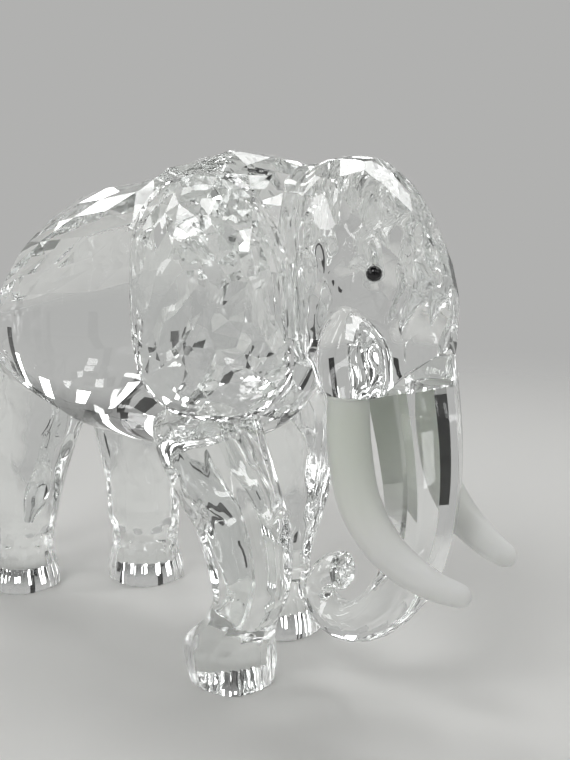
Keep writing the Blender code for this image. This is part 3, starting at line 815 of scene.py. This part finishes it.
def build_tail(material):
    skin = partial(tube_point, TAIL_PATH)
    bm = loft(skin_rings(skin, TAIL_RINGS, TAIL_SIDES))
    cutter = FacetCutter(bm, skin, partial(nearest_on_path, TAIL_PATH, TAIL_PATH_STEPS))
    for row in range(TAIL_FACET_ROWS):
        for i in range(TAIL_COLUMNS):
            angle = 2.0 * math.pi * (i + (0.5 if row % 2 else 0.0)) / TAIL_COLUMNS
            cutter.cut(0.08 + 0.085 * row, angle, 0.058, math.radians(30.0), 1.0, 0.02)
    cut_away(bm, (0.0, TAIL_SEAT_Y - BOND_OVERLAP, 0.0), (0.0, -1.0, 0.0))
    return finish_piece(bm, "tail", "crystal", material)


# ---- legs

LEG_SIDES = 120
LEG_RINGS = 96
TOE_FLUTES = 24
TOE_DEPTH = 2.4
INSTEP_SIDES = 10


def leg_point(stations, side, distance, ridge, place, angle):
    """Point of a leg's skin, with the toe flutes, the flat-sided instep and, on a front leg, a ridge."""
    height, centre_y, half_width, half_length = spline_point(stations, place)
    height = max(height, 0.0)
    centre_x = side * (distance - LEG_LEAN * height)
    x, y = rounded_section(angle, half_width, half_length, 2.5)
    front = 0.5 - 0.5 * math.sin(angle)
    toes = (1.0 - ease(FOOT_HEIGHT - 0.2, FOOT_HEIGHT + 0.9, height)) * ease(0.25, 0.5, front)
    instep = ease(FOOT_HEIGHT - 0.2, FOOT_HEIGHT + 0.9, height) * (1.0 - ease(INSTEP_TOP - 2.0, INSTEP_TOP, height))
    scale = 1.0 + toes * TOE_DEPTH * (flat_sides(angle, TOE_FLUTES) - 1.0)
    scale += instep * (flat_sides(angle + math.pi / INSTEP_SIDES, INSTEP_SIDES) - 1.0)
    if ridge:
        corner = math.radians(-125.0 if side < 0 else -55.0)
        off = abs((angle - corner + math.pi) % (2.0 * math.pi) - math.pi)
        scale += 0.075 * max(0.0, 1.0 - off / math.radians(26.0)) * ease(INSTEP_TOP - 4.0, INSTEP_TOP + 4.0, height)
    scale += leg_relief(centre_x, height, angle)
    return Vector((centre_x + x * scale, centre_y + y * scale, height))


def leg_relief(centre_x, height, angle):
    """Slow waves of the moulded skin, and thin creases on the upper leg."""
    window = ease(INSTEP_TOP, INSTEP_TOP + 6.0, height)
    spot = Vector((math.cos(angle) * 1.3 + centre_x, math.sin(angle) * 1.3, height * 0.07))
    waves = 0.035 * noise.noise(spot)
    crease = abs(math.sin(angle * 3.0 + height * 0.07 + 1.2 * noise.noise(spot * 1.3)))
    creases = 0.022 * (1.0 - ease(0.0, 0.5, crease)) * ease(22.0, 30.0, height)
    return window * (waves - creases)


def build_leg(name, side, distance, stations, seat_point, seat_facing, ridge, material):
    heights = [spline_point(stations, k / (LEG_RINGS - 1))[0] for k in range(LEG_RINGS)]

    def numbers(k, i):
        middle = (heights[k] + heights[k + 1]) / 2.0
        degrees = 360.0 * (i + 0.5) / LEG_SIDES
        if middle < FOOT_HEIGHT - 0.3 and degrees > 190.0 and degrees < 350.0:
            return 300 + i // (LEG_SIDES // TOE_FLUTES)
        if FOOT_HEIGHT + 1.0 < middle < INSTEP_TOP - 1.6:
            turned = (degrees + 180.0 / INSTEP_SIDES) % 360.0
            return 400 + int(turned // (360.0 / INSTEP_SIDES))
        return 0

    skin = partial(leg_point, stations, side, distance, ridge)
    bm = loft(skin_rings(skin, LEG_RINGS, LEG_SIDES), numbers)
    facing = on_side(seat_facing, side).normalized()
    cut_away(bm, on_side(seat_point, side) - facing * BOND_OVERLAP, -facing)
    return finish_piece(bm, name, "crystal", material, LEG_CREASE)


# ---- eyes

def build_eye(name, side, material):
    bm = bmesh.new()
    bm.faces.layers.int.new("facet")
    bmesh.ops.create_uvsphere(bm, u_segments=40, v_segments=24, radius=EYE_RADIUS)
    bmesh.ops.translate(bm, vec=on_side(EYE_POINT, side), verts=bm.verts)
    return finish_piece(bm, name, "bead", material, EYE_CREASE)


# ---- materials

CRYSTAL_IOR = 1.58
# The heights between which a tusk turns from its tip's colour, made paler with painted light, to its root's, in metres
TUSK_FULL_PAINTED_LIGHT_HEIGHT = 0.029
TUSK_NO_PAINTED_LIGHT_HEIGHT = 0.048


def set_inputs(node, values):
    for name, value in values.items():
        node.inputs[name].default_value = value


def new_material(name):
    material = bpy.data.materials.new(name)
    material.use_nodes = True
    nodes = material.node_tree.nodes
    shader = nodes["Principled BSDF"]
    return material, nodes, material.node_tree.links, shader


def add_noise(nodes, links, scale, detail=2.0):
    """A noise pattern fixed to the piece; scale is in patches per metre."""
    coordinates = nodes.new("ShaderNodeTexCoord")
    texture = nodes.new("ShaderNodeTexNoise")
    set_inputs(texture, {"Scale": scale, "Detail": detail})
    links.new(coordinates.outputs["Object"], texture.inputs["Vector"])
    return texture.outputs["Fac"]


def link_range(nodes, links, value, low, high, target, start=0.3, end=0.7):
    """Feed a value between low and high into a socket."""
    spread = nodes.new("ShaderNodeMapRange")
    set_inputs(spread, {"From Min": start, "From Max": end, "To Min": low, "To Max": high})
    links.new(value, spread.inputs["Value"])
    links.new(spread.outputs["Result"], target)


def link_bump(nodes, links, height, strength, distance, target):
    bump = nodes.new("ShaderNodeBump")
    set_inputs(bump, {"Strength": strength, "Distance": distance})
    links.new(height, bump.inputs["Height"])
    links.new(bump.outputs["Normal"], target)


def link_colours(nodes, links, value, first, second, target):
    mix = nodes.new("ShaderNodeMix")
    mix.data_type = "RGBA"
    mix.inputs["A"].default_value = (*first, 1.0)
    mix.inputs["B"].default_value = (*second, 1.0)
    links.new(value, mix.inputs["Factor"])
    links.new(mix.outputs["Result"], target)


def cut_crystal():
    """Polished lead crystal. The facets are true flats, and only faint polishing haze varies."""
    material, nodes, links, shader = new_material("cut_crystal")
    set_inputs(shader, {"Base Color": (0.99, 1.0, 0.995, 1.0), "IOR": CRYSTAL_IOR, "Transmission Weight": 1.0})
    haze = add_noise(nodes, links, 220.0, 4.0)
    link_range(nodes, links, haze, 0.0, 0.022, shader.inputs["Roughness"], 0.56, 0.72)
    return material


def moulded_crystal():
    """Pressed and fire-polished crystal, with the slow waves that a mould leaves."""
    material, nodes, links, shader = new_material("moulded_crystal")
    set_inputs(shader, {"Base Color": (0.985, 0.998, 0.99, 1.0), "IOR": CRYSTAL_IOR, "Transmission Weight": 1.0})
    haze = add_noise(nodes, links, 150.0, 3.0)
    link_range(nodes, links, haze, 0.0, 0.03, shader.inputs["Roughness"], 0.52, 0.72)
    waves = add_noise(nodes, links, 130.0, 1.0)
    link_bump(nodes, links, waves, 0.35, 0.0006, shader.inputs["Normal"])
    return material


def frosted_crystal():
    """Acid-etched crystal with a fine grain: cloudy green-white at the root, and paler towards the tip, where light is
    painted into the colour.
    """
    material, nodes, links, shader = new_material("frosted_crystal")
    set_inputs(shader, {"IOR": 1.5, "Transmission Weight": 0.35, "Sheen Weight": 0.6, "Sheen Roughness": 0.4,
                        "Subsurface Weight": 0.7, "Subsurface Radius": (1.0, 1.0, 0.95),
                        "Subsurface Scale": 0.004})
    clouds = add_noise(nodes, links, 75.0, 3.0)
    coordinates = nodes.new("ShaderNodeTexCoord")
    separate = nodes.new("ShaderNodeSeparateXYZ")
    links.new(coordinates.outputs["Object"], separate.inputs["Vector"])
    # Painted light: the base colour turns paler towards the tip, standing in for the light that falls on the tusk tips.
    painted_tip_light = nodes.new("ShaderNodeMix")
    painted_tip_light.data_type = "RGBA"
    link_range(nodes, links, separate.outputs["Z"], 0.0, 1.0, painted_tip_light.inputs["Factor"],
               TUSK_FULL_PAINTED_LIGHT_HEIGHT, TUSK_NO_PAINTED_LIGHT_HEIGHT)
    link_colours(nodes, links, clouds, (0.97, 0.985, 0.945), (0.995, 1.0, 0.975), painted_tip_light.inputs["A"])
    link_colours(nodes, links, clouds, (0.8, 0.84, 0.765), (0.86, 0.89, 0.83), painted_tip_light.inputs["B"])
    links.new(painted_tip_light.outputs["Result"], shader.inputs["Base Color"])
    etching = add_noise(nodes, links, 420.0, 3.0)
    link_range(nodes, links, etching, 0.42, 0.6, shader.inputs["Roughness"])
    grain = add_noise(nodes, links, 5200.0, 2.0)
    link_bump(nodes, links, grain, 0.25, 0.00006, shader.inputs["Normal"])
    return material


def black_bead():
    """Glossy black glass, very slightly uneven."""
    material, nodes, links, shader = new_material("black_bead")
    shader.inputs["IOR"].default_value = 1.52
    smears = add_noise(nodes, links, 900.0, 2.0)
    link_colours(nodes, links, smears, (0.002, 0.002, 0.002), (0.006, 0.005, 0.007), shader.inputs["Base Color"])
    link_range(nodes, links, smears, 0.03, 0.1, shader.inputs["Roughness"])
    link_bump(nodes, links, smears, 0.1, 0.00005, shader.inputs["Normal"])
    return material


# ---- the elephant

def build_elephant():
    clear = cut_crystal()
    moulded = moulded_crystal()
    frosted = frosted_crystal()
    black = black_bead()
    crystals = [build_body(clear), build_head(clear), build_trunk(clear), build_tail(clear)]
    front = (FRONT_SEAT_POINT, FRONT_SEAT_FACING)
    rear = (REAR_SEAT_POINT, REAR_SEAT_FACING)
    crystals += [
        build_leg("leg_front_right", -1.0, FRONT_LEG_X, FRONT_RIGHT_STATIONS, *front, True, moulded),
        build_leg("leg_front_left", 1.0, FRONT_LEG_X, FRONT_LEFT_STATIONS, *front, True, moulded),
        build_leg("leg_rear_right", -1.0, REAR_LEG_X, REAR_RIGHT_STATIONS, *rear, False, moulded),
        build_leg("leg_rear_left", 1.0, REAR_LEG_X, REAR_LEFT_STATIONS, *rear, False, moulded),
    ]
    for side, label in ((-1.0, "right"), (1.0, "left")):
        crystals.append(build_ear("ear_" + label, side, clear))
        build_tusk("tusk_" + label, side, frosted)
        build_eye("eye_" + label, side, black)


# ---- studio

FLOOR_LEVEL = -0.0002
BACKDROP = 0.44
FLOOR_FADE = (0.16, 0.42)
FLOOR_REACH = 1.2
# The backdrop's grey is even up to the first height, and falls to the share of it at the second.
BACKDROP_EVEN_TO = 0.3
BACKDROP_DARK_AT = 0.75
BACKDROP_DARK_SHARE = 0.06
# Black cards: (azimuth from the front, elevation, width, height) and the distance where it is another
CARDS = [
    (-30.0, 30.0, 0.07, 0.20), (-60.0, 26.0, 0.08, 0.22), (-96.0, 36.0, 0.07, 0.20), (-120.0, 28.0, 0.04, 0.20),
    (-148.0, 34.0, 0.07, 0.20), (-172.0, 30.0, 0.07, 0.20), (166.0, 36.0, 0.05, 0.22),
    (150.0, 44.0, 0.06, 0.22), (118.0, 42.0, 0.06, 0.24), (98.0, 30.0, 0.07, 0.22), (76.0, 36.0, 0.07, 0.20),
    (50.0, 28.0, 0.06, 0.20), (22.0, 32.0, 0.07, 0.22), (-7.0, 20.0, 0.07, 0.30), (-45.0, 8.0, 0.15, 0.36),
    (-20.0, 10.0, 0.07, 0.36), (2.0, 12.0, 0.05, 0.34), (20.0, 10.0, 0.06, 0.36), (70.0, 12.0, 0.06, 0.36),
    (107.0, 12.0, 0.05, 0.30), (160.0, 12.0, 0.05, 0.28), (-160.0, 12.0, 0.05, 0.32),
    (-112.0, 12.0, 0.05, 0.34), (-68.0, 12.0, 0.06, 0.36), (0.0, 82.0, 0.30, 0.16, 0.60),
]
# Softboxes: (azimuth, elevation, distance, width, height, radiance)
PANELS = [
    (-75.0, 48.0, 0.75, 0.26, 0.26, 8.0), (60.0, 60.0, 0.80, 0.34, 0.24, 6.0),
    (155.0, 62.0, 0.80, 0.18, 0.18, 8.0), (-132.0, 34.0, 0.70, 0.07, 0.40, 5.0),
    (142.0, 24.0, 0.80, 0.06, 0.12, 6.0), (109.0, 20.0, 0.80, 0.06, 0.30, 5.0),
    (176.0, 26.0, 0.80, 0.06, 0.30, 5.0), (8.0, 34.0, 0.80, 0.08, 0.26, 5.0),
    (36.0, 24.0, 0.80, 0.06, 0.30, 5.0),
]
# Thin white strips: the same as cards
STRIPS = [
    (-104.0, 26.0, 0.045, 0.26), (-22.0, 44.0, 0.045, 0.22), (64.0, 24.0, 0.045, 0.30),
    (126.0, 24.0, 0.04, 0.12), (158.0, 22.0, 0.04, 0.14), (92.0, 52.0, 0.045, 0.2), (-158.0, 30.0, 0.045, 0.24),
    (178.0, 56.0, 0.045, 0.2),
]
SUBJECT = Vector((0.0, 0.0, 0.05))
CARD_DISTANCE = 0.55
STRIP_DISTANCE = 0.52
STRIP_STRENGTH = 5.0


def add_plane(name, corners, colour, roughness):
    mesh = bpy.data.meshes.new(name)
    bm = bmesh.new()
    bm.faces.new([bm.verts.new(corner) for corner in corners])
    bm.to_mesh(mesh)
    bm.free()
    plane = bpy.data.objects.new(name, mesh)
    bpy.context.scene.collection.objects.link(plane)
    material, _, _, shader = new_material(name)
    set_inputs(shader, {"Base Color": (*colour, 1.0), "Roughness": roughness})
    mesh.materials.append(material)
    return plane


def fade_out(material):
    """Let the floor melt into the backdrop away from the middle."""
    nodes = material.node_tree.nodes
    links = material.node_tree.links
    coordinates = nodes.new("ShaderNodeTexCoord")
    length = nodes.new("ShaderNodeVectorMath")
    length.operation = "LENGTH"
    links.new(coordinates.outputs["Object"], length.inputs[0])
    fade = nodes.new("ShaderNodeMapRange")
    fade.interpolation_type = "SMOOTHSTEP"
    set_inputs(fade, {"From Min": FLOOR_FADE[0], "From Max": FLOOR_FADE[1], "To Min": 1.0, "To Max": 0.0})
    links.new(length.outputs["Value"], fade.inputs["Value"])
    links.new(fade.outputs["Result"], nodes["Principled BSDF"].inputs["Alpha"])


def add_strip(name, azimuth, elevation, width, height):
    """A thin plain white light, which gives the facets their small bright flashes."""
    strip = add_card(name, azimuth, elevation, width, height, STRIP_DISTANCE)
    shader = strip.data.materials[0].node_tree.nodes["Principled BSDF"]
    set_inputs(shader, {"Emission Color": (1.0, 1.0, 1.0, 1.0), "Emission Strength": STRIP_STRENGTH})


def outward_from_subject(azimuth, elevation):
    """Direction away from the elephant: azimuth 0 is ahead of it and 90 is on its left."""
    around = math.radians(azimuth)
    up = math.radians(elevation)
    return Vector((math.sin(around) * math.cos(up), -math.cos(around) * math.cos(up), math.sin(up)))


def add_card(name, azimuth, elevation, width, height, distance=CARD_DISTANCE):
    """A black card beside the set, seen only in the crystal."""
    outward = outward_from_subject(azimuth, elevation)
    centre = SUBJECT + outward * distance
    right = outward.cross(Vector((0.0, 0.0, 1.0))).normalized() * width / 2.0
    above = right.cross(outward).normalized() * height / 2.0
    corners = [centre - right - above, centre + right - above, centre + right + above, centre - right + above]
    card = add_plane(name, corners, (0.006, 0.006, 0.006), 0.9)
    card.visible_camera = False
    card.visible_diffuse = False
    card.visible_shadow = False
    return card


def add_panel(name, azimuth, elevation, distance, width, height, radiance):
    """A softbox facing the elephant."""
    outward = outward_from_subject(azimuth, elevation)
    light = bpy.data.lights.new(name, "AREA")
    light.shape = "RECTANGLE"
    light.size = width
    light.size_y = height
    light.energy = radiance * math.pi * width * height
    lamp = bpy.data.objects.new(name, light)
    lamp.location = SUBJECT + outward * distance
    lamp.rotation_euler = (-outward).to_track_quat("-Z", "Y").to_euler()
    lamp.visible_camera = False
    bpy.context.scene.collection.objects.link(lamp)


def build_world():
    """Even grey round the set, dark overhead."""
    grey = (BACKDROP, BACKDROP, BACKDROP * 0.985, 1.0)
    world = bpy.data.worlds.new("studio")
    bpy.context.scene.world = world
    world.use_nodes = True
    nodes = world.node_tree.nodes
    links = world.node_tree.links
    background = nodes["Background"]
    coordinates = nodes.new("ShaderNodeTexCoord")
    separate = nodes.new("ShaderNodeSeparateXYZ")
    links.new(coordinates.outputs["Generated"], separate.inputs[0])
    ramp = nodes.new("ShaderNodeValToRGB")
    elements = ramp.color_ramp.elements
    elements[0].position = 0.0
    elements[0].color = grey
    elements[1].position = BACKDROP_DARK_AT
    dark = BACKDROP * BACKDROP_DARK_SHARE
    elements[1].color = (dark, dark, dark, 1.0)
    middle = elements.new(BACKDROP_EVEN_TO)
    middle.color = grey
    links.new(separate.outputs["Z"], ramp.inputs[0])
    links.new(ramp.outputs[0], background.inputs["Color"])
    background.inputs["Strength"].default_value = 1.0


def build_studio():
    corners = [(x * FLOOR_REACH, y * FLOOR_REACH, FLOOR_LEVEL) for x, y in ((-1, -1), (1, -1), (1, 1), (-1, 1))]
    floor = add_plane("floor", corners, (0.74, 0.74, 0.72), 0.75)
    fade_out(floor.data.materials[0])
    build_world()
    for label, add, rows in (("card", add_card, CARDS), ("strip", add_strip, STRIPS), ("softbox", add_panel, PANELS)):
        for number, row in enumerate(rows):
            add("%s_%d" % (label, number + 1), *row)


# ---- camera

CAMERA_POINT = (-146.1, -148.8, 93.5)
CAMERA_HEADING = (0.715, 0.699)
CAMERA_PITCH = math.radians(10.5)
CAMERA_LENS = 53.05
CAMERA_SENSOR = 36.0
CAMERA_CLIP = 0.005


def build_camera():
    data = bpy.data.cameras.new("camera")
    data.lens = CAMERA_LENS
    data.sensor_width = CAMERA_SENSOR
    data.clip_start = CAMERA_CLIP
    data.dof.use_dof = False
    camera = bpy.data.objects.new("camera", data)
    x, y, z = CAMERA_POINT
    camera.location = (x * MM, (y + SHIFT_Y) * MM, z * MM)
    heading = Vector((CAMERA_HEADING[0], CAMERA_HEADING[1], 0.0)).normalized()
    direction = heading * math.cos(CAMERA_PITCH) - Vector((0.0, 0.0, math.sin(CAMERA_PITCH)))
    camera.rotation_euler = direction.to_track_quat("-Z", "Y").to_euler()
    bpy.context.scene.collection.objects.link(camera)
    bpy.context.scene.camera = camera


def set_view():
    scene = bpy.context.scene
    scene.cycles.max_bounces = 32
    scene.cycles.transmission_bounces = 32
    scene.cycles.glossy_bounces = 16
    scene.cycles.use_denoising = True
    scene.view_settings.view_transform = "Standard"


build_elephant()
build_studio()
build_camera()
set_view()
